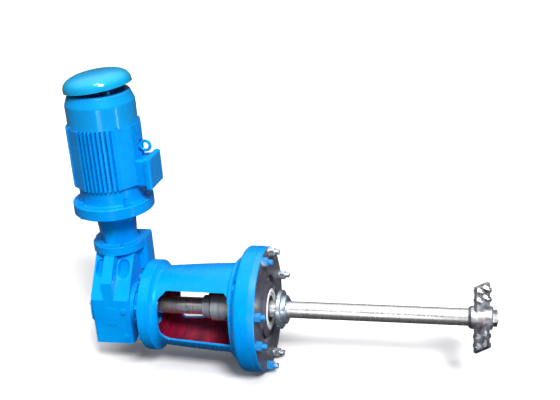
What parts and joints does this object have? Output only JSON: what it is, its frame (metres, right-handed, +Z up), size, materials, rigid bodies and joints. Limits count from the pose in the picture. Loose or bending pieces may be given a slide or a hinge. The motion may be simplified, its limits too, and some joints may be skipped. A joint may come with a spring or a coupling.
{
  "type": "side-entry mixer drive with worm gearbox",
  "caption": "Side-entry mixer drive: upright finned motor on a right-angle worm gearbox, conical lantern, flanged mounting plate and a long shaft with a shut-off collar and impeller hub.",
  "frame": {"origin": "centre of the mounting plate's tank-side face, on the output axis", "axes": "+X along the mixer shaft into the tank, +Z up along the motor"},
  "size_m": [1.821, 0.5449, 1.3036],
  "materials": {
    "blue_paint": "glossy enamel over castings; the lantern is dull red inside",
    "plate_grey": "dark grey primer with blue overspray on the rim",
    "white_polymer": "satin",
    "zinc_steel": "zinc plated, partly oversprayed blue",
    "polished_steel": "turned and polished",
    "dark_steel": "turned, oiled",
    "bearing_steel": "ground",
    "bronze": "turned, oiled",
    "grey_iron": "as cast, turned faces",
    "core_steel": "laminated",
    "winding_copper": "varnished",
    "fan_plastic": "moulded",
    "board_plastic": "moulded",
    "spider_polymer": "moulded",
    "seal_rubber": "moulded",
    "seal_face": "lapped"
  },
  "bodies": {
    "housing": {"adapter_screws": "blue_paint", "case_screws": "blue_paint", "drive_end_shield": "blue_paint", "fan_cowl": "blue_paint", "flange_nuts": "zinc_steel", "flange_studs": "zinc_steel", "gear_bearing_outers": "bearing_steel", "gear_case": "blue_paint", "gland_screws": "zinc_steel", "hood_spacers": "blue_paint", "lantern": "blue_paint", "lantern_bolts": "blue_paint", "lifting_eyebolt": "blue_paint", "motor_adapter": "blue_paint", "motor_bearing_outers": "bearing_steel", "motor_cover_screws": "blue_paint", "motor_flange_bolts": "blue_paint", "motor_frame": "blue_paint", "mounting_plate": "plate_grey", "non_drive_end_shield": "blue_paint", "oil_plugs": "blue_paint", "oil_seals": "seal_rubber", "output_housing": "blue_paint", "rain_hood": "blue_paint", "seal_gland": "dark_steel", "seal_stationary_ring": "seal_face", "seat_ring": "white_polymer", "side_cover": "blue_paint", "stator_core": "core_steel", "stator_windings": "winding_copper", "terminal_board": "board_plastic", "terminal_box": "blue_paint", "terminal_box_lid": "blue_paint", "worm_end_cap": "blue_paint"},
    "output_rotor": {"wheel_rim": "bronze", "wheel_hub": "grey_iron", "wheel_bolts": "zinc_steel", "wheel_key": "dark_steel", "hollow_shaft": "dark_steel", "output_bearing_inners": "bearing_steel", "output_bearing_balls": "bearing_steel", "shaft_lock_ring": "dark_steel"},
    "motor_rotor": {"worm_shaft": "dark_steel", "worm_bearing_inners": "bearing_steel", "worm_bearing_balls": "bearing_steel", "coupling_hub_worm": "grey_iron", "coupling_hub_motor": "grey_iron", "coupling_spider": "spider_polymer", "motor_shaft": "dark_steel", "rotor_core": "core_steel", "motor_bearing_inners": "bearing_steel", "motor_bearing_balls": "bearing_steel", "cooling_fan": "fan_plastic"},
    "mixer": {"mixer_shaft": "polished_steel", "shaft_key": "dark_steel", "shutoff_collar": "polished_steel", "seal_drive_collar": "dark_steel", "seal_rotary_ring": "seal_face", "impeller_hub": "polished_steel", "hub_fasteners": "polished_steel"}
  },
  "joints": [
    {"name": "output_spin", "type": "hinge", "parent": "housing", "child": "output_rotor", "pos_m": [-0.686, 0, 0], "axis": [1, 0, 0], "continuous": true},
    {"name": "motor_spin", "type": "hinge", "parent": "housing", "child": "motor_rotor", "pos_m": [-0.686, 0.1, 0], "axis": [0, 0, 1], "continuous": true},
    {"name": "shaft_shift", "type": "slide", "parent": "output_rotor", "child": "mixer", "axis": [1, 0, 0], "range_m": [-0.0325, 0]}
  ],
  "couplings": [
    {"joint": "motor_spin", "follows": "output_spin", "ratio": -7.5}
  ]
}
